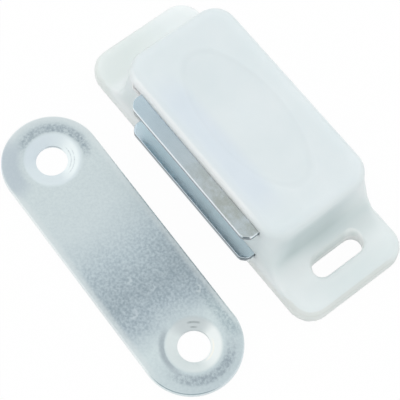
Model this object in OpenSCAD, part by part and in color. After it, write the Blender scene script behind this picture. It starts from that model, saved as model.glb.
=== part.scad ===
// Magnetic cabinet catch: moulded housing, floating magnet and pole plates, snap-in floor, and the strike plate.
// Millimetres. X runs along the catch, -Y is the pole side, Z is up from the mounting face.
// The origin is midway between the two screw slots, on the mounting face.

/* [Housing outside] */
// length over both screw flanges
catch_len = 47.7; // [38:0.1:60]
// height from the mounting face to the roof
body_h = 14; // [11:0.1:18]
// slot line to the front edge of the flanges
front_reach = 9.3; // [8.5:0.1:12]
// slot line to the back edge of the flanges
back_reach = 8.2; // [7.4:0.1:11]
// flange end to the foot of the end wall
flange_reach = 7.8; // [6.5:0.05:10]
// thickness of the screw flanges
flange_t = 2.4; // [1.9:0.1:3.2]
// plan radius of the flange corners
flange_corner_r = 3.2; // [2:0.1:4]
// rounding of the flange top edges
flange_edge_r = 0.8; // [0.3:0.1:1.2]
// how far each outer wall leans in from foot to roof edge
wall_draft = 0.2; // [0.1:0.05:0.4]
// step of the front wall's foot in from the flange edge
front_step = 0.1; // [0.1:0.05:0.6]
// step of the back wall's foot in from the flange edge
back_step = 0.65; // [0.2:0.05:1]
// plan radius of the upright corners at the foot
body_corner_r = 3.2; // [2.4:0.1:4.2]
// rounding all round the edge of the roof
roof_edge_r = 1.5; // [0.8:0.1:1.8]
// hollow fillet where the end wall meets the flange
foot_fillet_r = 4.4; // [2:0.1:5.3]
// wider hollow that runs down round each upright corner
corner_fillet_r = 7.5; // [4.5:0.1:8]

/* [Screw slots] */
// flange end to the middle of the slot
slot_inset = 5.05; // [4:0.05:6]
// slot width
slot_w = 2.7; // [2.4:0.1:3.6]
// slot length
slot_len = 8; // [6:0.1:10]

/* [Roof oval] */
// half length of the shallow oval
oval_a = 11.8; // [9:0.1:13]
// half width of the shallow oval
oval_b = 5.35; // [4:0.05:6.2]
// radius of the oval ends
oval_end_r = 3.6; // [2.5:0.1:3.8]
// depth of the oval
oval_depth = 0.25; // [0.1:0.05:0.4]
// shift of the oval towards the front from the middle of the roof
oval_shift = 0.1; // [-0.5:0.05:0.5]

/* [Walls] */
// roof thickness
roof_t = 1.5; // [1.2:0.1:2]
// end wall thickness at the roof
end_wall_t = 1.1; // [0.8:0.05:1.4]
// front wall thickness at the roof
front_wall_t = 1.45; // [1.1:0.05:1.8]
// back wall thickness at the roof
back_wall_t = 1.4; // [1.1:0.1:1.8]
// radius of the pocket's upright corners
pocket_corner_r = 1; // [0.5:0.1:1.4]

/* [Magnet and pole plates] */
// pole plate thickness
plate_t = 1; // [0.8:0.1:1.3]
// how far the poles stand proud of the front wall
pole_proud = 1.85; // [1.2:0.05:3]
// plate edge in from the pocket wall when the plate is centred
plate_margin = 2.75; // [2:0.05:4]
// chamfer at the corners of the pole noses
nose_chamfer = 0.85; // [0.4:0.05:1.4]
// diameter of the pegs that hold the plates
peg_d = 4; // [3:0.1:5]
// how far a peg stops short of the plate's inner face
peg_short = 0.2; // [0.1:0.05:0.4]
// corner radius of the plates' float holes
float_hole_r = 0.6; // [0.3:0.1:1]
// corner radius of the pressed magnet block
magnet_corner_r = 0.8; // [0.5:0.1:1.5]

/* [Floor] */
// underside of the lower plate above the mounting face
pack_z = 3.9; // [3.6:0.1:5]
// floor thickness
cover_t = 2; // [1.5:0.1:2.1]
// how far the floor sits in from the mounting face
cover_recess = 0.3; // [0.2:0.05:0.5]
// width of the floor's seat all round the pocket
cover_step = 0.6; // [0.4:0.05:0.7]
// radius of the seat's corners
seat_corner_r = 1.2; // [0.5:0.1:1.6]
// width of the ribs under the lower plate
rib_w = 1.2; // [0.9:0.1:1.6]
// outer rib in from the magnet's end
rib_inset = 5.2; // [3:0.1:7]
// rib end in from the pocket wall
rib_end = 1; // [0.6:0.1:2]
// radius of the snap ridges
snap_r = 0.35; // [0.25:0.05:0.45]
// length of the snap ridges
snap_len = 7; // [5:0.5:9]

/* [Strike plate] */
// overall length, ends fully round
strike_len = 45; // [36:0.5:55]
// width
strike_w = 13.6; // [11:0.1:17]
// thickness
strike_t = 1; // [0.8:0.1:1.4]
// plate end to hole centre
strike_hole_inset = 6.45; // [5.2:0.05:7.8]
// how far the line of the holes lies from the middle of the plate, towards the catch
strike_hole_shift = 0.2; // [-0.4:0.05:0.4]
// screw hole diameter
strike_hole_d = 4.3; // [3.6:0.1:5.4]
// countersink diameter at the face
strike_csk_d = 7.5; // [6:0.1:9]
// straight land under the countersink
strike_land = 0.35; // [0.2:0.05:0.5]
// space from the pole noses to the strike plate as laid out
strike_gap = 3.85; // [2:0.05:8]
// offset of the strike plate along X
strike_dx = 0.57; // [-2:0.01:2]
// turn of the strike plate in plan
strike_turn = -1.58; // [-5:0.01:5]

/* [Clearances] */
// sideways float of the magnet pack, each way
side_float = 0.75; // [0.4:0.05:1]
// sideways place of the pack in its float
pack_shift = 0.75; // [0:0.05:0.75]
// forward travel of a plate before its peg stops it
front_float = 0.4; // [0.2:0.05:0.6]
// backward travel of a plate
back_float = 0.6; // [0.3:0.05:0.8]
// gap that stays at the end of a travel
stop_gap = 0.05; // [0.02:0.01:0.1]
// gap between magnet and plate faces
pole_gap = 0.05; // [0.02:0.01:0.1]
// gap over and under the pack
pack_gap = 0.2; // [0.1:0.05:0.3]
// gap past the plates at the ends of the front slits
slit_gap = 0.15; // [0.1:0.05:0.3]
// gap round the floor in its seat
cover_gap = 0.12; // [0.08:0.01:0.2]

/* [Hidden] */
eps = 0.02;
body_len = catch_len - 2 * flange_reach;
body_half = body_len / 2;
front_foot = front_reach - front_step;
back_foot = back_reach - back_step;
top_half = body_half - wall_draft;
front_y = front_foot - wall_draft;
back_y = back_foot - wall_draft;
slot_x = catch_len / 2 - slot_inset;
roof_z = body_h - roof_t;
// pocket, measured from the outside in
pocket_half = top_half - end_wall_t;
pocket_front = -front_y + front_wall_t;
pocket_back = back_y - back_wall_t;
// pegs, plates and magnet, measured from the pocket
peg_y = (pocket_front + pocket_back) / 2;
plate_half = pocket_half - plate_margin;
nose_y = -front_foot - pole_proud;
plate_back = pocket_back - back_float - stop_gap;
upper_z = roof_z - pack_gap - plate_t;
lower_z = pack_z;
hole_half = peg_d / 2 + side_float + stop_gap;
hole_front = peg_y - peg_d / 2 - back_float - stop_gap;
hole_back = peg_y + peg_d / 2 + front_float + stop_gap;
magnet_half = pocket_half - side_float - stop_gap;
magnet_z = lower_z + plate_t + pole_gap;
magnet_t = upper_z - pole_gap - magnet_z;
magnet_front = pocket_front + front_float;
magnet_back = plate_back;
slit_half = plate_half + side_float + slit_gap;
// floor
seat_half = pocket_half + cover_step;
seat_front = pocket_front - cover_step;
seat_back = pocket_back + cover_step;
seat_z = cover_recess + cover_t + cover_gap;
snap_z = cover_recess + cover_t / 2;
cover_top = cover_recess + cover_t;
rib_top = lower_z - pack_gap;
rib_pitch = magnet_half - rib_inset;
// the fillets bite a little into the faces they join
bite = 0.02;
wall_top = body_h - roof_edge_r;
wall_slope = wall_draft / wall_top;
foot_zc = flange_t + foot_fillet_r - bite;
foot_xc = body_half - wall_slope * foot_zc + foot_fillet_r - bite;
ring_zc = flange_t + corner_fillet_r - bite;
ring_xc = body_corner_r - wall_slope * ring_zc + corner_fillet_r - bite;
// oval from four arcs
oval_p = oval_a - oval_end_r;
oval_q = oval_b - oval_end_r;
oval_h = (oval_p * oval_p - oval_q * oval_q) / (2 * oval_q);
oval_side_r = oval_b + oval_h;
oval_joint_x = oval_p * (1 + oval_end_r / (oval_side_r - oval_end_r));
oval_y = (back_y - front_y) / 2 - oval_shift;
// strike plate
strike_y = nose_y - strike_gap - strike_w / 2;
strike_hole_x = strike_len / 2 - strike_hole_inset;

module round_rect(x0, x1, y0, y1, r) {
  translate([x0 + r, y0]) square([x1 - x0 - 2 * r, y1 - y0]);
  translate([x0, y0 + r]) square([x1 - x0, y1 - y0 - 2 * r]);
  for (x = [x0 + r, x1 - r])
    for (y = [y0 + r, y1 - r])
      translate([x, y]) circle(r = r, $fn = 64);
}

// section of a slab edge, from 0 to w across at the foot: leaning side, rounded top corner
module edge_section(w, h, e, draft) {
  x = w - draft - e;
  polygon([[0, 0], [w, 0], [w - draft, h - e], [x, h - e], [x, h], [0, h]]);
  translate([x, h - e]) circle(r = e, $fn = 64);
}

// slab with upright corners of radius r, sides that lean in and a rounded top edge
module soft_slab(x0, x1, y0, y1, h, r, e, draft) {
  for (x = [x0 + r, x1 - r])
    for (y = [y0 + r, y1 - r])
      translate([x, y, 0]) rotate_extrude($fn = 96)
        intersection() {
          edge_section(r, h, e, draft);
          square([r, h]);
        }
  xm = (x0 + x1) / 2;
  ym = (y0 + y1) / 2;
  xr = (x1 - x0) / 2;
  yr = (y1 - y0) / 2;
  for (s = [0, 1])
    translate([xm, ym, 0]) rotate([0, 0, 180 * s]) {
      translate([0, yr - r, 0]) rotate([90, 0, 0])
        linear_extrude(height = 2 * (yr - r)) edge_section(xr, h, e, draft);
      translate([-(xr - r), 0, 0]) rotate([90, 0, 90])
        linear_extrude(height = 2 * (xr - r)) edge_section(yr, h, e, draft);
    }
}

// end wall with its hollow fillet, as a section looking along Y that reaches in by depth
module foot_patch(depth) {
  x = body_half - bite;
  difference() {
    polygon([
      [body_half - depth, flange_t - 0.5],
      [foot_xc, flange_t - 0.5],
      [foot_xc, foot_zc],
      [x - wall_slope * foot_zc, foot_zc],
      [x - wall_slope * ring_zc, ring_zc],
      [body_half - depth, ring_zc]
    ]);
    translate([foot_xc, foot_zc]) circle(r = foot_fillet_r, $fn = 96);
  }
}

// section of the hollow that is turned round an upright corner
module ring_patch() {
  difference() {
    translate([body_corner_r - 0.8, flange_t - 0.5])
      square([ring_xc - body_corner_r + 0.8, ring_zc - flange_t + 0.5]);
    translate([ring_xc, ring_zc]) circle(r = corner_fillet_r, $fn = 128);
  }
}

// hollow fillets at the feet of the end walls, between the upright corners
module foot_fillets() {
  r = body_corner_r;
  for (s = [0, 1])
    mirror([s, 0, 0])
      translate([0, back_foot - r, 0]) rotate([90, 0, 0])
        linear_extrude(height = front_foot + back_foot - 2 * r) foot_patch(0.6);
}

// the end fillets run on past the upright corners, under the wider hollow, to the front and back
module foot_corners() {
  r = body_corner_r;
  for (s = [0, 1])
    mirror([s, 0, 0]) {
      intersection() {
        translate([body_half - r, back_foot - r, 0]) rotate_extrude($fn = 128) ring_patch();
        translate([0, back_y, 0]) rotate([90, 0, 0])
          linear_extrude(height = r - wall_draft) foot_patch(r);
      }
      intersection() {
        translate([body_half - r, -front_foot + r, 0]) rotate_extrude($fn = 128) ring_patch();
        translate([0, -front_foot + r, 0]) rotate([90, 0, 0])
          linear_extrude(height = r - wall_draft) foot_patch(r);
      }
    }
}

module slot_cut(x) {
  y = slot_len / 2 - slot_w / 2;
  for (s = [-1, 1])
    translate([x, s * y, -1]) cylinder(d = slot_w, h = body_h, $fn = 64);
  translate([x - slot_w / 2, -y, -1]) cube([slot_w, 2 * y, body_h]);
}

module oval_cut() {
  translate([0, oval_y, body_h - oval_depth]) linear_extrude(height = oval_depth + 1) {
    intersection() {
      translate([0, -oval_h]) circle(r = oval_side_r, $fn = 180);
      translate([0, oval_h]) circle(r = oval_side_r, $fn = 180);
      translate([-oval_joint_x, -oval_b - 1]) square([2 * oval_joint_x, 2 * oval_b + 2]);
    }
    for (s = [-1, 1])
      translate([s * oval_p, 0]) circle(r = oval_end_r, $fn = 96);
  }
}

module housing() {
  color([0.9, 0.92, 0.92])
  difference() {
    union() {
      soft_slab(-catch_len / 2, catch_len / 2, -front_reach, back_reach,
        flange_t, flange_corner_r, flange_edge_r, 0);
      soft_slab(-body_half, body_half, -front_foot, back_foot,
        body_h, body_corner_r, roof_edge_r, wall_draft);
      foot_fillets();
      foot_corners();
    }
    // pocket for the magnet pack
    translate([0, 0, -1]) linear_extrude(height = roof_z + 1)
      round_rect(-pocket_half, pocket_half, pocket_front, pocket_back, pocket_corner_r);
    // front slits: the upper one opens under the roof
    for (z = [upper_z, lower_z])
      translate([-slit_half, -front_reach - 1, z - pack_gap])
        cube([2 * slit_half, front_reach + 1 + pocket_front + eps, plate_t + 2 * pack_gap]);
    // seat of the floor
    translate([0, 0, -1]) linear_extrude(height = seat_z + 1)
      round_rect(-seat_half, seat_half, seat_front, seat_back, seat_corner_r);
    // snap grooves
    for (s = [-1, 1])
      translate([s * seat_half, -snap_len / 2 - cover_gap, snap_z]) rotate([-90, 0, 0])
        cylinder(r = snap_r + cover_gap, h = snap_len + 2 * cover_gap, $fn = 48);
    for (s = [-1, 1])
      slot_cut(s * slot_x);
    oval_cut();
  }
  // peg under the roof for the upper plate
  color([0.9, 0.92, 0.92])
    translate([0, peg_y, upper_z + peg_short])
      cylinder(d = peg_d, h = roof_z - upper_z - peg_short + eps, $fn = 64);
}

module base_cover() {
  x = seat_half - cover_gap;
  color([0.86, 0.88, 0.88]) {
    translate([0, 0, cover_recess]) linear_extrude(height = cover_t)
      round_rect(-x, x, seat_front + cover_gap, seat_back - cover_gap, seat_corner_r - cover_gap);
    for (s = [-1, 0, 1])
      translate([s * rib_pitch - rib_w / 2, pocket_front + rib_end, cover_top - eps])
        cube([rib_w, pocket_back - pocket_front - 2 * rib_end, rib_top - cover_top + eps]);
    // peg for the lower plate
    translate([0, peg_y, cover_top - eps])
      cylinder(d = peg_d, h = lower_z + plate_t - peg_short - cover_top + eps, $fn = 64);
    for (s = [-1, 1])
      translate([s * x, -snap_len / 2, snap_z]) rotate([-90, 0, 0])
        cylinder(r = snap_r, h = snap_len, $fn = 48);
  }
}

module magnet_block() {
  color([0.16, 0.16, 0.17])
  translate([pack_shift, 0, magnet_z]) linear_extrude(height = magnet_t)
    round_rect(-magnet_half, magnet_half, magnet_front, magnet_back, magnet_corner_r);
}

// one stamping, used twice: nose with cut corners, and a float hole over the peg
module pole_plate(z) {
  c = nose_chamfer;
  translate([pack_shift, 0, z]) linear_extrude(height = plate_t)
    difference() {
      polygon([
        [-plate_half, plate_back],
        [-plate_half, nose_y + c],
        [-plate_half + c, nose_y],
        [plate_half - c, nose_y],
        [plate_half, nose_y + c],
        [plate_half, plate_back]
      ]);
      round_rect(-hole_half, hole_half, hole_front, hole_back, float_hole_r);
    }
}

module upper_pole_plate() {
  color([0.68, 0.73, 0.76]) pole_plate(upper_z);
}

module lower_pole_plate() {
  color([0.62, 0.68, 0.72]) pole_plate(lower_z);
}

module strike_plate() {
  r = strike_w / 2;
  color([0.76, 0.8, 0.81])
  translate([strike_dx, strike_y, 0]) rotate([0, 0, strike_turn])
  difference() {
    union() {
      translate([-strike_len / 2 + r, -r, 0]) cube([strike_len - 2 * r, strike_w, strike_t]);
      for (s = [-1, 1])
        translate([s * (strike_len / 2 - r), 0, 0]) cylinder(r = r, h = strike_t, $fn = 96);
    }
    for (s = [-1, 1])
      translate([s * strike_hole_x, strike_hole_shift, 0]) {
        translate([0, 0, -1]) cylinder(d = strike_hole_d, h = strike_t + 2, $fn = 64);
        translate([0, 0, strike_land])
          cylinder(d1 = strike_hole_d, d2 = strike_csk_d, h = strike_t - strike_land, $fn = 64);
        translate([0, 0, strike_t]) cylinder(d = strike_csk_d, h = 1, $fn = 64);
      }
  }
}

housing();
base_cover();
magnet_block();
upper_pole_plate();
lower_pole_plate();
strike_plate();
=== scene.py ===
import math

import bpy
from mathutils import Matrix, Vector


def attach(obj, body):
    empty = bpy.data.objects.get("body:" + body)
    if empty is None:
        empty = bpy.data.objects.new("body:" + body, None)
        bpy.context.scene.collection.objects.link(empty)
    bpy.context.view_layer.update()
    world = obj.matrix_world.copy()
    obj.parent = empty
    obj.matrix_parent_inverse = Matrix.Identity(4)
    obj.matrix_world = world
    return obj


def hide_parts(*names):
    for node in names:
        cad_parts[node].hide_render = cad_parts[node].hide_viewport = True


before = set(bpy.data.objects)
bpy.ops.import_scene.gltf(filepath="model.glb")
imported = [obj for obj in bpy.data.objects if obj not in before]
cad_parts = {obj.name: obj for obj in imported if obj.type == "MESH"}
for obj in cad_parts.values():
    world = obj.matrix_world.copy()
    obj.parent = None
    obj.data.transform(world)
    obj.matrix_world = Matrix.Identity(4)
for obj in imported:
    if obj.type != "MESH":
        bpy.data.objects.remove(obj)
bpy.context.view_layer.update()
mm = 0.001
level = 1e-4  # mm, points this close in height count as one ring
weld = 0.0005  # mm, points this close are merged
almost = 0.998  # share of a full round, so that two rounded corners never quite meet
white = (1, 1, 1, 1)
print("frame loaded:", ", ".join(sorted(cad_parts)))


def toLinear(code):
    parts = [int(code[i:i + 2], 16) / 255 for i in (1, 3, 5)]
    return [p / 12.92 if p <= 0.04045 else ((p + 0.055) / 1.055) ** 2.4 for p in parts] + [1]


def addNode(tree, kind, settings=None, links=None):
    node = tree.nodes.new(kind)
    for key, value in (settings or {}).items():
        if isinstance(key, int) or key in node.inputs:
            node.inputs[key].default_value = value
        else:
            setattr(node, key, value)
    for key, source in (links or {}).items():
        tree.links.new(source, node.inputs[key])
    return node


# a value with a plain number, or with nothing
def maths(tree, operation, value, number=0.0):
    return addNode(tree, "ShaderNodeMath", {"operation": operation, 1: number}, {0: value}).outputs[0]


# two values
def join(tree, operation, first, second):
    return addNode(tree, "ShaderNodeMath", {"operation": operation}, {0: first, 1: second}).outputs[0]


def product(tree, first, *others):
    for other in others:
        first = join(tree, "MULTIPLY", first, other)
    return first


def lengthOf(tree, vector):
    return addNode(tree, "ShaderNodeVectorMath", {"operation": "LENGTH"}, {0: vector}).outputs["Value"]


# vector from a middle, and its length
def distance(tree, place, middle):
    reach = addNode(tree, "ShaderNodeVectorMath", {"operation": "SUBTRACT", 1: middle}, {0: place}).outputs[0]
    return reach, lengthOf(tree, reach)


def slope(tree, value, low, high):
    kind = {"interpolation_type": "SMOOTHSTEP", "From Min": low, "From Max": high}
    return addNode(tree, "ShaderNodeMapRange", kind, {"Value": value}).outputs[0]


# rises from 0 to 1 between the first two marks and falls again between the last two
def hump(tree, value, marks):
    return product(tree, slope(tree, value, marks[0], marks[1]), slope(tree, value, marks[3], marks[2]))


def spread(tree, value, low, high):
    return addNode(tree, "ShaderNodeMapRange", {"To Min": low, "To Max": high}, {"Value": value}).outputs[0]


# 1 on the side of a middle that lies towards a direction, in degrees from the X axis
def towards(tree, reach, degrees, low, high):
    turn = math.radians(degrees)
    side = (math.cos(turn), math.sin(turn), 0)
    aim = addNode(tree, "ShaderNodeVectorMath", {"operation": "NORMALIZE"}, {0: reach})
    share = addNode(tree, "ShaderNodeVectorMath", {"operation": "DOT_PRODUCT", 1: side}, {0: aim.outputs[0]})
    return slope(tree, share.outputs["Value"], low, high)


# grain of a size in mm
def noise(tree, inMm, size, detail, roughness):
    settings = {"Scale": 1 / size, "Detail": detail, "Roughness": roughness}
    return addNode(tree, "ShaderNodeTexNoise", settings, {"Vector": inMm}).outputs["Fac"]


def bump(tree, height, strength, depth):
    settings = {"Strength": strength, "Distance": mm * depth}
    return addNode(tree, "ShaderNodeBump", settings, {"Height": height}).outputs[0]


def tint(tree, color, mask, code, blend):
    settings = {"data_type": "RGBA", "blend_type": blend, 7: toLinear(code)}
    return addNode(tree, "ShaderNodeMix", settings, {0: mask, 6: color}).outputs[2]


# lays each zone's colour on where all that it names lies within its marks: two marks fade it in,
# four fade it in and out again, and with none the measure itself is the share
def tintZones(tree, color, measures, zones):
    for code, blend, where in zones:
        shares = []
        for name, marks in where.items():
            value = measures[name]
            if len(marks) == 4:
                value = hump(tree, value, marks)
            elif marks:
                value = slope(tree, value, *marks)
            shares.append(value)
        color = tint(tree, color, product(tree, *shares), code, blend)
    return color


# colours at given places along a value
def toneRamp(tree, value, tones):
    first, last = tones[0][0], tones[-1][0]
    share = addNode(tree, "ShaderNodeMapRange", {"From Min": first, "From Max": last}, {"Value": value})
    ramp = addNode(tree, "ShaderNodeValToRGB", None, {"Fac": share.outputs[0]})
    stops = ramp.color_ramp.elements
    for mark, code in tones[1:-1]:
        stops.new((mark - first) / (last - first))
    for stop, (mark, code) in zip(stops, tones):
        stop.position = (mark - first) / (last - first)
        stop.color = toLinear(code)
    return ramp.outputs["Color"]


def startMaterial(name):
    material = bpy.data.materials.new(name)
    material.use_nodes = True
    material.node_tree.nodes.clear()
    return material, material.node_tree


def endMaterial(tree, shader):
    addNode(tree, "ShaderNodeOutputMaterial", None, {"Surface": shader.outputs[0]})


# place in mm, or in steps of other sizes along the three axes
def placeInMm(tree, sizes=(1, 1, 1)):
    place = addNode(tree, "ShaderNodeTexCoord").outputs["Object"]
    scale = [1 / (mm * size) for size in sizes]
    return addNode(tree, "ShaderNodeMapping", {"Scale": scale}, {"Vector": place}).outputs[0]


# what the zones of a look go by: the place in mm and the way that a face looks
def readFace(tree, inMm):
    facing = addNode(tree, "ShaderNodeNewGeometry").outputs["Normal"]
    measures = {}
    for names, vector in ((("x", "y", "z"), inMm), (("normalX", "normalY", "normalZ"), facing)):
        axes = addNode(tree, "ShaderNodeSeparateXYZ", None, {"Vector": vector}).outputs
        measures.update(zip(names, axes))
    measures["upright"] = maths(tree, "ABSOLUTE", measures["normalZ"])
    return measures


def clearSelection():
    if bpy.context.object and bpy.context.object.mode != "OBJECT":
        bpy.ops.object.mode_set(mode="OBJECT")
    bpy.ops.object.select_all(action="DESELECT")


def selectOnly(piece):
    clearSelection()
    piece.select_set(True)
    bpy.context.view_layer.objects.active = piece


def applyPlace():
    bpy.ops.object.transform_apply(location=True, rotation=True, scale=True)


def applyStep(piece, kind, settings):
    selectOnly(piece)
    step = piece.modifiers.new(kind.lower(), kind)
    for key, value in settings.items():
        setattr(step, key, value)
    bpy.ops.object.modifier_apply(modifier=step.name)


# edit mode with only the points that pass the test selected
def pickPoints(piece, test):
    bpy.ops.object.mode_set(mode="EDIT")
    bpy.ops.mesh.select_mode(type="VERT")
    bpy.ops.mesh.select_all(action="DESELECT")
    bpy.ops.object.mode_set(mode="OBJECT")
    for point in piece.data.vertices:
        point.select = test(point.co / mm)
    bpy.ops.object.mode_set(mode="EDIT")


def bevelCorners(offset, steps):
    bpy.ops.mesh.bevel(offset=mm * offset, segments=steps, affect="VERTICES", clamp_overlap=False)


# rounded rectangles (x0, x1, y0, y1, corner, z in mm), bridged from the lowest to the highest;
# corners cut in one step can be eased a little
def loft(name, rings, steps, ease=0, easeSteps=3):
    clearSelection()
    bpy.ops.mesh.primitive_plane_add(size=1)
    piece = bpy.context.object
    piece.name = name
    bpy.ops.object.mode_set(mode="EDIT")
    bpy.ops.mesh.delete(type="VERT")
    for x0, x1, y0, y1, corner, z in rings:
        middle = (mm * (x0 + x1) / 2, mm * (y0 + y1) / 2, mm * z)
        bpy.ops.mesh.primitive_plane_add(size=1, location=middle)
        bpy.ops.transform.resize(value=(mm * (x1 - x0), mm * (y1 - y0), 1), center_override=middle)
        bevelCorners(corner, steps)
        if ease:
            bevelCorners(ease, easeSteps)
    bpy.ops.mesh.select_all(action="SELECT")
    bpy.ops.mesh.delete(type="ONLY_FACE")
    for low, high in zip(rings, rings[1:]):
        pickPoints(piece, lambda p: min(abs(p.z - low[5]), abs(p.z - high[5])) < level)
        bpy.ops.mesh.bridge_edge_loops()
    for end in (rings[0], rings[-1]):
        pickPoints(piece, lambda p: abs(p.z - end[5]) < level)
        bpy.ops.mesh.edge_face_add()
    bpy.ops.mesh.select_all(action="SELECT")
    bpy.ops.mesh.normals_make_consistent(inside=False)
    bpy.ops.object.mode_set(mode="OBJECT")
    return piece


# a ring set in by the same amount all round
def setIn(ring, inset, z):
    x0, x1, y0, y1, corner, _ = ring
    return (x0 + inset, x1 - inset, y0 + inset, y1 - inset, corner - inset, z)


# upright sides with a quarter round of the edge radius at the top, and at the foot where asked;
# with side -1 they flare outwards, for a tool that rounds the edges of what it cuts
def edgeRounds(ring, low, high, edge, steps, foot, side=1):
    turns = [math.radians(90 * k / steps) for k in range(steps + 1)]
    moves = [(side * edge * (1 - math.cos(t)), edge * (1 - math.sin(t))) for t in turns]
    top = [setIn(ring, inset, high - drop) for inset, drop in moves]
    base = [setIn(ring, inset, low + drop) for inset, drop in reversed(moves)]
    return (base if foot else [setIn(ring, 0, low)]) + top


def roundRing(x, y, radius, z):
    return (x - radius, x + radius, y - radius, y + radius, radius * almost, z)


def smoothed(share):
    return share * share * (3 - 2 * share)


def addBox(x0, x1, y0, y1, z0, z1):
    clearSelection()
    middle = (mm * (x0 + x1) / 2, mm * (y0 + y1) / 2, mm * (z0 + z1) / 2)
    bpy.ops.mesh.primitive_cube_add(size=1, location=middle)
    box = bpy.context.object
    box.scale = (mm * (x1 - x0), mm * (y1 - y0), mm * (z1 - z0))
    applyPlace()
    return box


def combine(piece, tool, how):
    applyStep(piece, "BOOLEAN", {"operation": how, "solver": "EXACT", "object": tool})
    bpy.data.objects.remove(tool)


# merged points, smooth shading up to the angle, flat faces kept flat
def finishMesh(piece, angle):
    selectOnly(piece)
    bpy.ops.object.mode_set(mode="EDIT")
    bpy.ops.mesh.select_all(action="SELECT")
    bpy.ops.mesh.remove_doubles(threshold=weld * mm)
    # faces with many corners are cut up evenly, so that none is left as a thin sliver
    bpy.ops.mesh.select_mode(type="FACE")
    bpy.ops.mesh.select_face_by_sides(number=4, type="GREATER", extend=False)
    bpy.ops.mesh.quads_convert_to_tris(quad_method="BEAUTY", ngon_method="BEAUTY")
    bpy.ops.object.mode_set(mode="OBJECT")
    bpy.ops.object.shade_smooth_by_angle(angle=math.radians(angle))
    applyStep(piece, "WEIGHTED_NORMAL", {"keep_sharp": True})
    print(piece.name, len(piece.data.polygons), "faces")


def paint(piece, material):
    piece.data.materials.clear()
    piece.data.materials.append(material)


# camera, as the photograph was taken
cameraView = {
    "azimuth": 49.173,
    "elevation": 67.262,
    "roll": 2.93,
    "distance": 204.896,  # mm
    "target": (1.028, -8.728, 0),  # mm
    "lens": 138.33,
    "clipStart": 10,  # mm
}


def placeCamera(view):
    clearSelection()
    turn, tilt, roll = [math.radians(view[key]) for key in ("azimuth", "elevation", "roll")]
    back = Vector((math.sin(turn) * math.cos(tilt), -math.cos(turn) * math.cos(tilt), math.sin(tilt)))
    right = Vector((math.cos(turn), math.sin(turn), 0))
    up = back.cross(right)
    side = right * math.cos(roll) + up * math.sin(roll)
    top = up * math.cos(roll) - right * math.sin(roll)
    bpy.ops.object.camera_add()
    camera = bpy.context.object
    camera.matrix_world = Matrix((side, top, back)).transposed().to_4x4()
    camera.location = (Vector(view["target"]) + back * view["distance"]) * mm
    camera.data.lens = view["lens"]
    camera.data.sensor_fit = "HORIZONTAL"
    camera.data.clip_start = view["clipStart"] * mm
    bpy.context.scene.camera = camera


placeCamera(cameraView)
print("camera placed")

# floor, lamp and world
studio = {
    "floorSize": 4000,  # mm
    "floorDrop": 0.02,  # mm below the part
    "floorColor": "#f7f8f8",
    "floorWhite": 0.96,  # share of the floor that shows as plain white, the rest keeps the shadow
    "ambient": 0.9,
    "softboxPlace": (-160, 150, 620),  # mm
    "softboxSize": 1000,  # mm
    "softboxSides": 64,
    "softboxPower": 0.8,
    "clothColor": "#e4e8ea",  # the softbox's front as bright metal shows it
}


# 1 for what the camera sees, straight or in a mirror or through glass
def seenRays(tree):
    path = addNode(tree, "ShaderNodeLightPath").outputs
    seen = join(tree, "MAXIMUM", path["Is Camera Ray"], path["Is Glossy Ray"])
    return join(tree, "MAXIMUM", seen, path["Is Transmission Ray"])


def floorPaint(look):
    material, tree = startMaterial("matt_white_floor")
    share = maths(tree, "MULTIPLY", seenRays(tree), look["floorWhite"])
    matt = addNode(tree, "ShaderNodeBsdfDiffuse", {"Color": toLinear(look["floorColor"])})
    plain = addNode(tree, "ShaderNodeEmission", {"Color": white, "Strength": 1.0})
    mixed = addNode(tree, "ShaderNodeMixShader", None, {0: share, 1: matt.outputs[0], 2: plain.outputs[0]})
    endMaterial(tree, mixed)
    return material


def clothPaint(look):
    material, tree = startMaterial("softbox_front")
    glow = addNode(tree, "ShaderNodeEmission", {"Color": toLinear(look["clothColor"]), "Strength": 1.0})
    endMaterial(tree, glow)
    return material


def setStudio(look):
    clearSelection()
    bpy.ops.mesh.primitive_plane_add(size=look["floorSize"] * mm, location=(0, 0, -look["floorDrop"] * mm))
    floor = bpy.context.object
    floor.name = "studio_floor"
    paint(floor, floorPaint(look))
    spot = Vector(look["softboxPlace"]) * mm
    bpy.ops.object.light_add(type="AREA", location=spot)
    softbox = bpy.context.object
    softbox.rotation_euler = spot.to_track_quat("Z", "Y").to_euler()
    softbox.data.shape = "DISK"
    softbox.data.size = look["softboxSize"] * mm
    softbox.data.energy = look["softboxPower"]
    softbox.visible_glossy = False
    bpy.ops.mesh.primitive_circle_add(vertices=look["softboxSides"], radius=look["softboxSize"] * mm / 2,
                                      fill_type="NGON", location=spot, rotation=softbox.rotation_euler)
    cloth = bpy.context.object
    cloth.name = "softbox_cloth"
    paint(cloth, clothPaint(look))
    cloth.visible_camera = False
    cloth.visible_diffuse = False
    cloth.visible_transmission = False
    cloth.visible_shadow = False
    world = bpy.data.worlds.new("studio")
    bpy.context.scene.world = world
    world.use_nodes = True
    tree = world.node_tree
    tree.nodes.clear()
    room = addNode(tree, "ShaderNodeBackground", {"Color": white, "Strength": look["ambient"]}).outputs[0]
    plain = addNode(tree, "ShaderNodeBackground", {"Color": white, "Strength": 1.0}).outputs[0]
    mixed = addNode(tree, "ShaderNodeMixShader", None, {0: seenRays(tree), 1: room, 2: plain})
    addNode(tree, "ShaderNodeOutputWorld", None, {"Surface": mixed.outputs[0]})


setStudio(studio)
bpy.context.scene.view_settings.view_transform = "Standard"
print("studio set")

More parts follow.
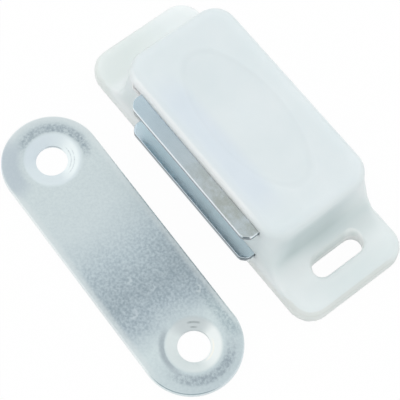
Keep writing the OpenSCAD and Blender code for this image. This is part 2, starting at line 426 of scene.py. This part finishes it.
# materials; a zone is a colour, how it is laid on, and the marks, in mm or as a share, where it shows
plasticLook = {
    # colour by height in mm: thin flange lighter with painted light, wall in front of the dark magnet darker
    # with painted shade, thin roof edge, roof
    "tones": ((0.0, "#f4f8f8"), (2.3, "#f3f7f7"), (3.4, "#eff3f3"), (4.6, "#e9efef"), (6.5, "#e6eded"),
              (10.5, "#e8eff0"), (12.4, "#e7eeef"), (13.5, "#e7eeef"), (13.72, "#e6edef"), (14.0, "#e6edef")),
    "cloud": "#eef3f4",  # the tones are multiplied by up to this much
    "cloudGrain": (9.0, 3.0, 0.5),  # mm, detail, roughness
    "skinGrain": (0.22, 2.0, 0.6),  # coarser than the mould's spark finish so that it shows
    "skinBump": (0.12, 0.02),  # strength, depth in mm
    "roughness": (0.37, 0.47),
    "shader": {"IOR": 1.49, "Subsurface Weight": 0.6, "Subsurface Radius": (1.0, 1.0, 1.0),
               "Subsurface Scale": 1.5 * mm},
    "slot": ((18.8, 0), (0, 2.65)),  # mm: middle and half sizes of a slot's middle line
    "flange": ((0, -0.55), (20.65, 5.55)),  # mm: middle and half sizes of the flanges inside their corners
    "oval": ((0, -0.9, 0), (11.3, 4.85, 1000)),  # mm: middle and half sizes, with height left out
    "faint": ((-24, 24), (0.3, 1.0)),  # marks along X, and the share that shows there
    "zones": (
        # painted shade on the end walls, where the magnet stands behind them
        ("#dde4e4", "MULTIPLY", {"out": (14.6, 15.7), "z": (4, 6.5, 10.5, 13.9), "y": (-9.5, -5, -0.5, 5.5)}),
        # painted light on the thin edge of the roof over the upper slit
        ("#f2f9fb", "MIX", {"y": (-7.6, -8.4), "z": (12, 12.4, 13.5, 13.75), "x": (-15.5, -12, 9, 13.5)}),
        # colder strip along the front of the roof
        ("#f9faff", "MULTIPLY", {"z": (13.3, 13.8), "y": (-9, -7, -5.5, -3.5), "x": (-13, -6, 8, 14)}),
        # fine line of painted shade round the oval's rim
        ("#fdfdfd", "MULTIPLY", {"z": (13.4, 13.7), "oval": (0.93, 0.99, 1.01, 1.07)}),
        # painted shade on the flange edges, greyer and warmer than their faces, more of it towards the +X end
        ("#f9f7f4", "MULTIPLY", {"upright": (0.8, 0.3), "z": (2.4, 1.6), "faint": ()}),
        # painted shade on the flange at the far end from the window
        ("#f6f8f8", "MULTIPLY", {"x": (18.5, 22.5), "z": (3.2, 2.4), "y": (-7, -1)}),
        # painted shade at the foot of the end wall beside the slot
        ("#f2f5f5", "MULTIPLY", {"x": (15.5, 16.5, 18, 20.5), "z": (7, 4.2), "y": (-5.5, -1.5, 6, 9)}),
        # painted light at the foot of the end wall towards the window
        ("#f8fbfb", "MIX", {"x": (-15.2, -15.8), "z": (2.4, 3.2, 8, 12), "y": (-7, -3)}),
        # flange there, a little warmer
        ("#f7f8f6", "MULTIPLY", {"x": (-16.5, -19), "z": (3.2, 2.4), "y": (5, -3)}),
        # painted light in the end of the upper slit beside its plate
        ("#f8fbfb", "MIX", {"x": (-13.4, -13, -11.2, -10.8), "z": (10.9, 11.2, 12.4, 12.6)}),
        # painted shade on the outer border of the flange at the far end
        ("#f8f9f9", "MULTIPLY", {"border": (1.6, 2.8), "x": (16, 19), "z": (3, 2.5)}),
        # painted shade on the rounded upper corner of the flange edges
        ("#f6f4f1", "MULTIPLY", {"upright": (0.2, 0.5, 0.9, 0.985), "z": (2.42, 2.3), "slot": (1.7, 2.2),
                                 "y": (6.5, 3.5), "faint": ()}),
        # light that runs through the thin flange into its slots
        ("#e9efee", "MIX", {"slot": (1.8, 1.55), "upright": (0.95, 0.5)}),
        # more of it at their back end
        ("#fbfffe", "MIX", {"slot": (1.8, 1.55), "upright": (0.95, 0.5), "y": (1.8, 3.2)}),
        # edge of the slot towards the body, in its shade
        ("#edf0f0", "MULTIPLY", {"slot": (1.8, 1.55), "upright": (0.95, 0.5), "out": (18.8, 17.8),
                                 "z": (1.5, 2.1)}),
    ),
}


# how far a place lies outside a rectangle in plan, given by its middle and half sizes in mm
def outside(tree, place, rectangle):
    past = []
    for axis, middle, half in zip(place, *rectangle):
        offset = maths(tree, "ABSOLUTE", maths(tree, "SUBTRACT", axis, middle))
        past.append(maths(tree, "MAXIMUM", maths(tree, "SUBTRACT", offset, half), 0.0))
    return lengthOf(tree, addNode(tree, "ShaderNodeCombineXYZ", None, dict(enumerate(past))).outputs[0])


# ABS, injection moulded in a fine spark-eroded mould: milky white, light runs a little way
# into it, under a satin skin; the glow of its thin flanges and edges is painted light and the greyer wall
# over the magnet painted shade
def mouldedAbs(name, look):
    material, tree = startMaterial(name)
    inMm = placeInMm(tree)
    measures = readFace(tree, inMm)
    x, y, z = [measures[axis] for axis in ("x", "y", "z")]
    out = maths(tree, "ABSOLUTE", x)
    middle, half = look["oval"]
    inOval = addNode(tree, "ShaderNodeMapping", {"vector_type": "TEXTURE", "Location": middle, "Scale": half},
                     {"Vector": inMm}).outputs[0]
    marks, shares = look["faint"]
    measures["out"] = out
    measures["oval"] = lengthOf(tree, inOval)
    measures["faint"] = spread(tree, slope(tree, x, *marks), *shares)
    measures["border"] = outside(tree, (x, y), look["flange"])
    measures["slot"] = outside(tree, (out, y), look["slot"])
    cloud = noise(tree, inMm, *look["cloudGrain"])
    color = tint(tree, toneRamp(tree, z, look["tones"]), cloud, look["cloud"], "MULTIPLY")
    color = tintZones(tree, color, measures, look["zones"])
    skin = bump(tree, noise(tree, inMm, *look["skinGrain"]), *look["skinBump"])
    gloss = spread(tree, cloud, *look["roughness"])
    links = {"Base Color": color, "Normal": skin, "Roughness": gloss}
    endMaterial(tree, addNode(tree, "ShaderNodeBsdfPrincipled", look["shader"], links))
    return material


poleLook = {
    # colour along the strip in mm, colder and lighter at the left, a painted reflection there
    "tones": ((-12, "#d8e8f0"), (-6, "#cedbe2"), (0, "#d3dce0"), (4, "#d2d8d9"), (13, "#d4dcde")),
    "dull": "#e6eaec",  # the tones are multiplied by up to this much
    "rollSizes": (6.0, 0.4, 0.4),  # mm along and across the rolling lines
    "rollGrain": (1.0, 2.0, 0.5),  # share of those sizes, detail, roughness
    "rollShare": 0.3,
    "cloudGrain": (2.5, 4.0, 0.6),  # mm, detail, roughness
    "stain": "#efece4",  # warm patches towards the right
    "stainMarks": (-3, 6),  # mm
    "stainCloud": (0.4, 0.6),
    "cold": "#e8f6ff",  # lower plate, lighter and bluer: painted reflection
    "coldMarks": (8, 6),  # mm up
    "coldShare": 0.8,
    "skinBump": (0.05, 0.01),  # strength, depth in mm
    "roughness": (0.16, 0.26),
    "shader": {"Metallic": 1.0},
    "zones": (
        # painted shade on the faces that look down, which the lower plate mirrors
        ("#8daeb8", "MULTIPLY", {"normalZ": (-0.3, -0.7)}),
        # their middle and right, with more painted shade
        ("#caceda", "MULTIPLY", {"normalZ": (-0.3, -0.7), "x": (-6, 0)}),
        # painted highlight on the sheared edges
        ("#f3faff", "MIX", {"upright": (0.9, 0.5)}),
        # edges of the lower plate, with a dimmer painted highlight
        ("#d9e1e6", "MIX", {"upright": (0.9, 0.5), "z": (8, 6)}),
        # painted shade on the half of each edge that faces the gap towards the magnet
        ("#6a757b", "MIX", {"upright": (0.9, 0.5), "z": (4.2, 4.45, 11.65, 11.9)}),
        # painted dark reflection on the cut corners
        ("#66737a", "MIX", {"upright": (0.9, 0.5), "normalX": (0.35, 0.6), "normalY": (-0.35, -0.6)}),
    ),
}


# cold-rolled steel strip, bright zinc plated: bluish silver, a soft mirror with faint rolling lines
# along the strip; its sheared edges carry a painted highlight on the outside and painted shade towards the
# magnet, and its faces that look down painted shade
def brightZincSteel(name, look):
    material, tree = startMaterial(name)
    inMm = placeInMm(tree)
    measures = readFace(tree, inMm)
    lines = noise(tree, placeInMm(tree, look["rollSizes"]), *look["rollGrain"])
    cloud = noise(tree, inMm, *look["cloudGrain"])
    mixing = {"data_type": "FLOAT", 0: look["rollShare"]}
    both = addNode(tree, "ShaderNodeMix", mixing, {2: cloud, 3: lines}).outputs[0]
    color = tint(tree, toneRamp(tree, measures["x"], look["tones"]), both, look["dull"], "MULTIPLY")
    patches = product(tree, slope(tree, measures["x"], *look["stainMarks"]),
                      slope(tree, cloud, *look["stainCloud"]))
    color = tint(tree, color, patches, look["stain"], "MULTIPLY")
    # painted reflection on the lower plate
    low = spread(tree, slope(tree, measures["z"], *look["coldMarks"]), 0, look["coldShare"])
    color = tint(tree, color, low, look["cold"], "MIX")
    color = tintZones(tree, color, measures, look["zones"])
    gloss = spread(tree, both, *look["roughness"])
    links = {"Base Color": color, "Normal": bump(tree, both, *look["skinBump"]), "Roughness": gloss}
    endMaterial(tree, addNode(tree, "ShaderNodeBsdfPrincipled", look["shader"], links))
    return material


strikeLook = {
    # colour along the plate in mm from its middle; its lighter and darker stretches are partly the plating's
    # clouding and partly painted reflection
    "tones": ((-22.5, "#dfe8ea"), (-14, "#e7f0f0"), (-6, "#e5eeef"), (1, "#d8e3e7"), (6.5, "#c7d2d7"),
              (10, "#d1dce1"), (14, "#eaf4f4"), (22.5, "#d8e3e6")),
    "wanderGrain": (6.0, 3.0, 0.55),  # mm, detail, roughness
    "wander": (-2.0, 2.0),  # mm that the borders of those colours sway
    "grain": (0.36, 5.0, 0.65),  # spangle: mm, detail, roughness
    "grainRange": (0.28, 0.72),  # values between which it goes from light to dark
    "grainDark": "#c4ccd2",  # the tones are multiplied by up to this much
    "grainMarks": (-6, 5, 9, 13),  # mm along the plate where the spangle comes and goes
    "grainShare": (0.2, 0.88),  # least and most of it
    "rim": "#eef4f4",  # rounded border, lighter, fading out towards the far end
    "rimMarks": (5.6, 6.5),  # mm out from the middle line
    "rimStart": -15.7,  # where that line ends and the rim runs round
    "rimEnd": (18, 14),  # mm along the plate where it fades out
    "rimShare": 0.7,
    "mottle": (0.2, 1.0),  # least and most that a shade takes where the spangle is light and dark
    "zones": (
        # painted shade: dark line along the rounded edge of the far end
        ("#aebabf", "MULTIPLY", {"normalZ": (0.5, 0.7, 0.9, 0.99), "x": (15, 18), "y": (1, -3)}),
        # painted shade, mottled by the spangle: darker strip inside the border beside the far hole
        ("#d3dade", "MULTIPLY", {"y": (4.2, 5.2, 5.9, 6.4), "x": (8, 13, 17, 19), "mottle": ()}),
    ),
    "coneMetal": 0.12,  # how much of a mirror is left in the cones, whose light colour is a painted reflection
    # each hole: its middle, the middle and border of its cone in mm, the cone's colour, and the arcs round
    # it with their colour, four radii in mm, degrees, the cosines between which they fade in, least grain
    "holes": (
        {
            "middle": (-16.05, 0.2, 1),
            "punch": (-15.9, 0.33, 1),
            "border": (4.1, 3.6),
            # cone colour: a painted reflection
            "cone": "#dbe6ea",
            # mottled crescent that the punch left, and the shade beside it
            "outside": (("#a6b3bb", (3.9, 4.3, 4.8, 5.6), 140, (0.0, 0.6), 0.2),
                        ("#cfd9df", (4.2, 5.2, 6.6, 7.4), 250, (0.65, 0.95), 0.8)),
            # painted light on the side towards the window, painted shade on the side away from it, lines that
            # the punch turned, painted shade on the rim of the hole where its far wall shows
            "inside": (("#f0f9fa", (1.8, 2.1, 3.4, 4.0), 58, (0.3, 0.9), 1.0),
                       ("#d6e1e7", (1.8, 2.1, 3.4, 4.0), 195, (0.3, 0.9), 1.0),
                       ("#c6d0d5", (2.95, 3.02, 3.06, 3.15), 50, (0.75, 0.9), 0.1),
                       ("#c9d3d8", (2.55, 2.62, 2.66, 2.75), 62, (0.7, 0.9), 0.1),
                       ("#9ca7ab", (2.1, 2.16, 2.22, 2.34), 137, (0.75, 0.95), 1.0)),
        },
        {
            "middle": (16.05, 0.2, 1),
            "punch": (16.05, 0.2, 1),
            "border": (3.95, 3.4),
            # cone colour: a painted reflection
            "cone": "#dde6e6",
            # mottled crescent that the punch left, and a line of painted shade outside the cone
            "outside": (("#a6b2ba", (3.9, 4.4, 5.1, 5.8), -8, (0.15, 0.9), 0.2),
                        ("#bac4c9", (3.7, 3.95, 4.2, 4.8), 250, (0.55, 0.97), 0.8)),
            # as above, and two small burrs on the side away from the window
            "inside": (("#f1f7f6", (1.8, 2.1, 3.3, 3.8), 55, (0.2, 0.9), 1.0),
                       ("#c6cfd1", (1.8, 2.1, 3.5, 4.1), 152, (0.5, 0.95), 1.0),
                       ("#fbfbf3", (2.4, 2.5, 2.6, 2.7), 40, (0.7, 0.95), 1.0),
                       ("#bcc5c6", (2.1, 2.16, 2.22, 2.34), 125, (0.4, 0.9), 1.0),
                       ("#99a3a5", (2.95, 3.07, 3.17, 3.32), 145, (0.945, 0.985), 0.6),
                       ("#929c9e", (2.4, 2.5, 2.6, 2.7), 145, (0.955, 0.99), 0.6)),
        },
    ),
    # small knocks, each a broken ring: place along and across, radius in mm, colour
    "knocks": ((10.1, 5.0, 0.55, "#eef5f6"), (8.1, -3.7, 0.6, "#e2eaee"), (4.0, -1.6, 0.45, "#dfe8eb"),
               (6.6, 0.4, 0.35, "#dce5e9")),
    "knockMarks": (0.4, 0.8, 0.9, 1.4),  # shares of the radius where the ring comes and goes
    "knockSide": (45, -0.6, 0.5),  # degrees of the part that shows, and the cosines where it fades in
    "knockShare": 0.55,
    "knockBends": {"Scale": 2.2, "Detail": 1.0},  # bends per mm in their outlines
    "knockBlur": 0.5,  # mm that their outlines wander
    "skinBump": (0.15, 0.02),  # strength, depth in mm
    "roughness": (0.26, 0.42),
}


def drawArcs(tree, color, reach, radius, arcs, grain):
    for code, marks, degrees, sweep, least in arcs:
        arc = product(tree, hump(tree, radius, marks), towards(tree, reach, degrees, *sweep))
        color = tint(tree, color, product(tree, arc, spread(tree, grain, least, 1.0)), code, "MIX")
    return color


# broken rings with outlines that wander
def drawKnocks(tree, color, onPlate, look):
    bends = addNode(tree, "ShaderNodeTexNoise", look["knockBends"], {"Vector": onPlate}).outputs["Color"]
    middle = {"operation": "SUBTRACT", 1: (0.5, 0.5, 0.5)}
    centred = addNode(tree, "ShaderNodeVectorMath", middle, {0: bends}).outputs[0]
    size = {"operation": "MULTIPLY", 1: (look["knockBlur"], look["knockBlur"], 0)}
    shift = addNode(tree, "ShaderNodeVectorMath", size, {0: centred}).outputs[0]
    bent = addNode(tree, "ShaderNodeVectorMath", {"operation": "ADD"}, {0: onPlate, 1: shift}).outputs[0]
    for along, over, radius, code in look["knocks"]:
        reach, fromMiddle = distance(tree, bent, (along, over, 1))
        ring = product(tree, hump(tree, fromMiddle, [radius * mark for mark in look["knockMarks"]]),
                       towards(tree, reach, *look["knockSide"]))
        color = tint(tree, color, spread(tree, ring, 0, look["knockShare"]), code, "MIX")
    return color


# mild steel sheet, barrel zinc plated and left dull: pale blue-grey with a fine mottled spangle,
# cloudier towards one end, bruised in a crescent beside each pressed countersink; its cones are bright with
# painted reflection, with painted light and shade round them and along the far end
def dullZincSteel(name, look, place, turn):
    material, tree = startMaterial(name)
    space = addNode(tree, "ShaderNodeTexCoord").outputs["Object"]
    # millimetres from the middle of the plate, along its own length
    lie = {"vector_type": "TEXTURE", "Location": (mm * place[0], mm * place[1], 0),
           "Rotation": (0, 0, math.radians(turn)), "Scale": (mm, mm, mm)}
    onPlate = addNode(tree, "ShaderNodeMapping", lie, {"Vector": space}).outputs[0]
    measures = readFace(tree, onPlate)
    sway = spread(tree, noise(tree, onPlate, *look["wanderGrain"]), *look["wander"])
    swayed = join(tree, "ADD", measures["x"], sway)
    grain = noise(tree, onPlate, *look["grain"])
    spangle = slope(tree, grain, *look["grainRange"])
    strong = spread(tree, hump(tree, swayed, look["grainMarks"]), *look["grainShare"])
    color = toneRamp(tree, swayed, look["tones"])
    color = tint(tree, color, product(tree, spangle, strong), look["grainDark"], "MULTIPLY")
    past = maths(tree, "MINIMUM", maths(tree, "SUBTRACT", measures["x"], look["rimStart"]), 0.0)
    fromLine = addNode(tree, "ShaderNodeCombineXYZ", None, {0: past, 1: measures["y"]}).outputs[0]
    rim = product(tree, slope(tree, lengthOf(tree, fromLine), *look["rimMarks"]),
                  slope(tree, measures["x"], *look["rimEnd"]))
    color = tint(tree, color, spread(tree, rim, 0, look["rimShare"]), look["rim"], "MIX")
    measures["mottle"] = spread(tree, spangle, *look["mottle"])
    color = tintZones(tree, color, measures, look["zones"])
    metal = None
    for hole in look["holes"]:
        fromCone, coneRadius = distance(tree, onPlate, hole["punch"])
        fromHole, holeRadius = distance(tree, onPlate, hole["middle"])
        inCone = slope(tree, coneRadius, *hole["border"])
        color = drawArcs(tree, color, fromCone, coneRadius, hole["outside"], spangle)
        color = tint(tree, color, inCone, hole["cone"], "MIX")
        color = drawArcs(tree, color, fromHole, holeRadius, hole["inside"], spangle)
        shine = spread(tree, inCone, 1.0, look["coneMetal"])
        metal = product(tree, metal, shine) if metal else shine
    color = drawKnocks(tree, color, onPlate, look)
    links = {"Base Color": color, "Metallic": metal, "Normal": bump(tree, grain, *look["skinBump"]),
             "Roughness": spread(tree, grain, *look["roughness"])}
    endMaterial(tree, addNode(tree, "ShaderNodeBsdfPrincipled", None, links))
    return material


ferriteLook = {
    "tones": ((0.35, "#2b2b2e"), (0.7, "#45464a")),  # by the value of the speck
    "speck": (0.3, 5.0, 0.7),  # mm, coarser than the powder so that it shows, detail, roughness
    "skinBump": (0.4, 0.03),  # strength, depth in mm
    "roughness": (0.58, 0.78),
    "shader": {"IOR": 2.3},
}


# strontium ferrite, pressed and sintered: matt charcoal with a fine powder speck
def sinteredFerrite(name, look):
    material, tree = startMaterial(name)
    speck = noise(tree, placeInMm(tree), *look["speck"])
    links = {"Base Color": toneRamp(tree, speck, look["tones"]),
             "Roughness": spread(tree, speck, *look["roughness"]),
             "Normal": bump(tree, speck, *look["skinBump"])}
    endMaterial(tree, addNode(tree, "ShaderNodeBsdfPrincipled", look["shader"], links))
    return material


coverLook = dict(plasticLook, tones=((0.0, "#e2e9ea"), (5.0, "#e2e9ea")))
housingPlastic = mouldedAbs("moulded_abs_housing", plasticLook)
coverPlastic = mouldedAbs("moulded_abs_floor", coverLook)
poleSteel = brightZincSteel("bright_zinc_rolled_steel", poleLook)
ferrite = sinteredFerrite("sintered_ferrite", ferriteLook)
print("materials made")

# housing, in mm: flange slab and body, then the pocket, slits, slots and oval
housing = {
    "length": 47.7,
    "height": 14.0,
    "frontReach": 9.3,
    "backReach": 8.2,
    "flangeThick": 2.4,
    "flangeCorner": 3.2,
    "flangeRound": 0.8,
    "flangeRoundSteps": 8,
    "halfBody": 16.05,
    "frontFoot": 9.2,
    "backFoot": 7.55,
    "bodyFoot": 0.8,  # height in the flange where the body starts
    "lean": 0.2,
    "corner": 3.2,
    "cornerSteps": 14,
    "footCorner": 0.5,
    "cornerOpens": (3.5, 12.5),  # heights between which the upright corner grows round
    "wallLevels": (7.3, 7.8, 8.4, 9.0, 9.6, 10.2, 11.4),
    "roofRound": 1.5,
    "roofSteps": 9,
    "footHollow": 4.4,  # radius of the hollow at the foot of each end wall
    "hollowSink": 0.02,
    "hollowStart": 3,  # degrees from level where it leaves the flange
    "hollowSteps": 14,
    "pocket": (-14.75, 14.75, -7.55, 5.95, 1.0, 12.5),
    "pocketSteps": 8,
    "seat": (-15.35, 15.35, -8.15, 6.55, 1.2, 2.42),
    "seam": 0.0005,  # step in height between the seat and the pocket
    "slits": ((11.27, 12.33), (3.87, 4.93)),
    "slitHalf": 12.9,
    "slitInside": 0.5,  # how far the slits' tool runs into the pocket
    "slotX": 18.8,
    "slotWidth": 2.7,
    "slotLength": 8.0,
    "slotRound": 0.05,
    "slotRoundSteps": 5,
    "slotSteps": 12,
    "ovalHalf": (11.8, 5.35),
    "ovalEnd": 3.6,  # radius of its ends
    "ovalSteps": 40,
    "ovalJoin": 0.01,
    "ovalDepth": 0.2,
    "ovalRim": 1.0,
    "ovalRimSteps": 8,
    "ovalLift": 0.004,
    "ovalY": -0.9,
    "pegY": -0.8,
    "pegDiameter": 4.0,
    "pegFoot": 11.5,
    "pegSteps": 11,
    "snapX": 15.35,
    "snapZ": 1.3,
    "snapRadius": 0.47,
    "snapLength": 7.24,
    "snapSides": 32,
    "past": 1.0,  # how far a tool runs out of what it cuts
    "voxel": 0.25,
    "softShare": 0.5,
    "softPasses": 8,
    "smoothAngle": 40,  # degrees
}


def bodyRings(s):
    wallTop = s["height"] - s["roofRound"]
    hollow = s["footHollow"]
    hollowZ = s["flangeThick"] + hollow - s["hollowSink"]
    hollowX = s["halfBody"] - s["lean"] * hollowZ / wallTop + hollow
    low, high = s["cornerOpens"]

    def ringAt(half, z, inset=0):
        lean = s["lean"] * min(z, wallTop) / wallTop
        grow = smoothed(min(max((z - low) / (high - low), 0), 1))
        corner = s["footCorner"] + (s["corner"] - s["footCorner"]) * grow
        return setIn((-half, half, -s["frontFoot"] + lean, s["backFoot"] - lean, corner, z), inset, z)

    start, steps = s["hollowStart"], s["hollowSteps"]
    turns = [math.radians(start + (90 - start) * k / steps) for k in range(steps + 1)]
    foot = [(hollowX - hollow * math.sin(t), hollowZ - hollow * math.cos(t)) for t in turns]
    rings = [ringAt(foot[0][0], s["bodyFoot"])] + [ringAt(half, z) for half, z in foot]
    for z in s["wallLevels"] + (wallTop,):
        rings.append(ringAt(s["halfBody"] - s["lean"] * z / wallTop, z))
    for k in range(1, s["roofSteps"] + 1):
        t = math.radians(90 * k / s["roofSteps"])
        inset = s["roofRound"] * (1 - math.cos(t))
        rings.append(ringAt(s["halfBody"] - s["lean"], wallTop + s["roofRound"] * math.sin(t), inset))
    return rings


# four arcs drawn with spin, then a soft rim set in step by step
def ovalCutter(s):
    halfLong, halfWide = s["ovalHalf"]
    end = s["ovalEnd"]
    endX = halfLong - end
    drop = (endX ** 2 - (halfWide - end) ** 2) / (2 * (halfWide - end))
    swing = math.atan2(drop, endX)
    face = s["height"] + s["ovalLift"]
    clearSelection()
    bpy.ops.mesh.primitive_plane_add(size=mm)
    cutter = bpy.context.object
    bpy.ops.object.mode_set(mode="EDIT")
    start = Vector((endX + end * math.cos(swing), s["ovalY"] - end * math.sin(swing), face))
    bpy.ops.transform.translate(value=start * mm)
    bpy.ops.mesh.merge(type="CENTER")
    ends, sides = 2 * swing, math.pi - 2 * swing
    for x, y, angle in ((endX, 0, ends), (0, -drop, sides), (-endX, 0, ends), (0, drop, sides)):
        middle = (mm * x, mm * (s["ovalY"] + y), mm * face)
        # a negative angle spins anticlockwise
        bpy.ops.mesh.spin(steps=s["ovalSteps"], angle=-angle, center=middle, axis=(0, 0, 1))
    bpy.ops.mesh.select_all(action="SELECT")
    bpy.ops.mesh.remove_doubles(threshold=s["ovalJoin"] * mm)
    bpy.ops.mesh.edge_face_add()
    bpy.ops.mesh.normals_make_consistent(inside=False)
    steps = s["ovalRimSteps"]
    drops = [smoothed(k / steps) * s["ovalDepth"] for k in range(steps + 1)]
    for before, after in zip(drops, drops[1:]):
        bpy.ops.mesh.inset(thickness=mm * s["ovalRim"] / steps, depth=0, use_even_offset=True)
        bpy.ops.transform.translate(value=(0, 0, -mm * (after - before)))
    pickPoints(cutter, lambda p: p.z > face - level)
    bpy.ops.mesh.extrude_edges_move(TRANSFORM_OT_translate={"value": (0, 0, mm * s["past"])})
    bpy.ops.mesh.edge_face_add()
    bpy.ops.mesh.select_all(action="SELECT")
    bpy.ops.mesh.normals_make_consistent(inside=False)
    bpy.ops.object.mode_set(mode="OBJECT")
    return cutter


def slotCutter(s, x):
    halfWide, halfLong = s["slotWidth"] / 2, s["slotLength"] / 2
    ring = (x - halfWide, x + halfWide, -halfLong, halfLong, halfWide * almost, 0)
    edge, thick = s["slotRound"], s["flangeThick"]
    rounds = edgeRounds(ring, 0, thick, edge, s["slotRoundSteps"], True, side=-1)
    rings = [setIn(ring, -edge, -s["past"])] + rounds + [setIn(ring, -edge, thick + s["past"])]
    return loft("slot", rings, s["slotSteps"])


# pocket, slits, floor seat and snap grooves in one tool, less the peg that hangs from the roof
def cavityCutter(s):
    seat, pocket, past = s["seat"], s["pocket"], s["past"]
    rings = [setIn(seat, 0, -past), seat, setIn(pocket, 0, seat[5] + s["seam"]), pocket]
    cavity = loft("cavity", rings, s["pocketSteps"])
    outer, inner = -s["frontReach"] - past, pocket[2] + s["slitInside"]
    for low, high in s["slits"]:
        combine(cavity, addBox(-s["slitHalf"], s["slitHalf"], outer, inner, low, high), "UNION")
    for side in (-1, 1):
        clearSelection()
        bpy.ops.mesh.primitive_cylinder_add(
            vertices=s["snapSides"], radius=mm * s["snapRadius"], depth=mm * s["snapLength"],
            location=(mm * side * s["snapX"], 0, mm * s["snapZ"]), rotation=(math.radians(90), 0, 0))
        groove = bpy.context.object
        applyPlace()
        combine(cavity, groove, "UNION")
    peg = [roundRing(0, s["pegY"], s["pegDiameter"] / 2, z) for z in (s["pegFoot"], pocket[5] + past)]
    combine(cavity, loft("peg", peg, s["pegSteps"]), "DIFFERENCE")
    return cavity


def makeHousing(s):
    half = s["length"] / 2
    slab = (-half, half, -s["frontReach"], s["backReach"], s["flangeCorner"], 0)
    rings = edgeRounds(slab, 0, s["flangeThick"], s["flangeRound"], s["flangeRoundSteps"], False)
    piece = loft("housing_moulding", rings, s["cornerSteps"])
    combine(piece, loft("body", bodyRings(s), s["cornerSteps"]), "UNION")
    for side in (-1, 1):
        combine(piece, slotCutter(s, side * s["slotX"]), "DIFFERENCE")
    combine(piece, ovalCutter(s), "DIFFERENCE")
    print("housing outside made")
    # every edge and corner runs soft, as out of the mould
    applyStep(piece, "REMESH", {"mode": "VOXEL", "voxel_size": s["voxel"] * mm})
    applyStep(piece, "SMOOTH", {"factor": s["softShare"], "iterations": s["softPasses"]})
    combine(piece, cavityCutter(s), "DIFFERENCE")
    finishMesh(piece, s["smoothAngle"])
    paint(piece, housingPlastic)
    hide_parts("housing")
    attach(piece, "catch")


makeHousing(housing)

# pole plates, in mm: one stamping with cut corners and broken edges, copied for the lower place
polePlate = {
    "outline": (-11.25, 12.75, -11.05, 5.3, 0.85, 0),
    "cornerSteps": 1,  # corners cut, not round
    "hole": (-2.05, 3.55, -3.45, 1.65, 0.6, 0),
    "holeSteps": 6,
    "thick": 1.0,
    "edge": 0.12,
    "edgeSteps": 4,
    "ease": 0.33,  # rounding of the cut corners
    "upperFoot": 11.3,
    "lowerFoot": 3.9,
    "past": 1.0,
    "smoothAngle": 35,  # degrees
}


def makePolePlates(s):
    low = s["upperFoot"]
    high = low + s["thick"]
    rings = edgeRounds(s["outline"], low, high, s["edge"], s["edgeSteps"], True)
    upper = loft("upper_pole", rings, s["cornerSteps"], s["ease"])
    through = [setIn(s["hole"], 0, z) for z in (low - s["past"], high + s["past"])]
    combine(upper, loft("floatHole", through, s["holeSteps"]), "DIFFERENCE")
    finishMesh(upper, s["smoothAngle"])
    paint(upper, poleSteel)
    lower = upper.copy()
    lower.data = upper.data.copy()
    lower.name = "lower_pole"
    bpy.context.scene.collection.objects.link(lower)
    selectOnly(lower)
    lower.location.z = mm * (s["lowerFoot"] - s["upperFoot"])
    applyPlace()
    plates = ((upper, "upper_pole_plate", "upper_plate"), (lower, "lower_pole_plate", "lower_plate"))
    for plate, node, body in plates:
        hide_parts(node)
        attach(plate, body)


makePolePlates(polePlate)

# strike plate, in mm: stamped with round ends and two pressed countersinks, then turned and put in its place
strike = {
    "length": 45.0,
    "width": 13.6,
    "thick": 1.0,
    "endSteps": 32,
    "edge": 0.22,
    "edgeSteps": 5,
    "holeX": 16.05,
    "holeY": 0.2,
    "holeSteps": 15,
    # radius and height of the hole's wall, from below to the face
    "sink": ((2.15, -1), (2.15, 0.35), (2.3, 0.43), (2.85, 0.65), (3.4, 0.84), (3.7, 0.925), (3.85, 0.945),
             (4.3, 0.962), (4.9, 0.982), (5.6, 0.999), (6.0, 1.02), (6.0, 2)),
    "place": (0.57, -21.70),
    "turn": -1.58,  # degrees
    "smoothAngle": 30,  # degrees
}


def makeStrike(s):
    halfLong, halfWide = s["length"] / 2, s["width"] / 2
    outline = (-halfLong, halfLong, -halfWide, halfWide, halfWide * almost, 0)
    rings = edgeRounds(outline, 0, s["thick"], s["edge"], s["edgeSteps"], True)
    piece = loft("strike_stamping", rings, s["endSteps"])
    for side in (-1, 1):
        sink = [roundRing(side * s["holeX"], s["holeY"], radius, z) for radius, z in s["sink"]]
        combine(piece, loft("sink", sink, s["holeSteps"]), "DIFFERENCE")
    selectOnly(piece)
    piece.rotation_euler.z = math.radians(s["turn"])
    piece.location = (mm * s["place"][0], mm * s["place"][1], 0)
    applyPlace()
    finishMesh(piece, s["smoothAngle"])
    paint(piece, dullZincSteel("dull_zinc_stamped_steel", strikeLook, s["place"], s["turn"]))
    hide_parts("strike_plate")
    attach(piece, "strike")


makeStrike(strike)

# the floor plate and the magnet keep their solids
paint(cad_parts["base_cover"], coverPlastic)
paint(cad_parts["magnet_block"], ferrite)
print("pieces made")
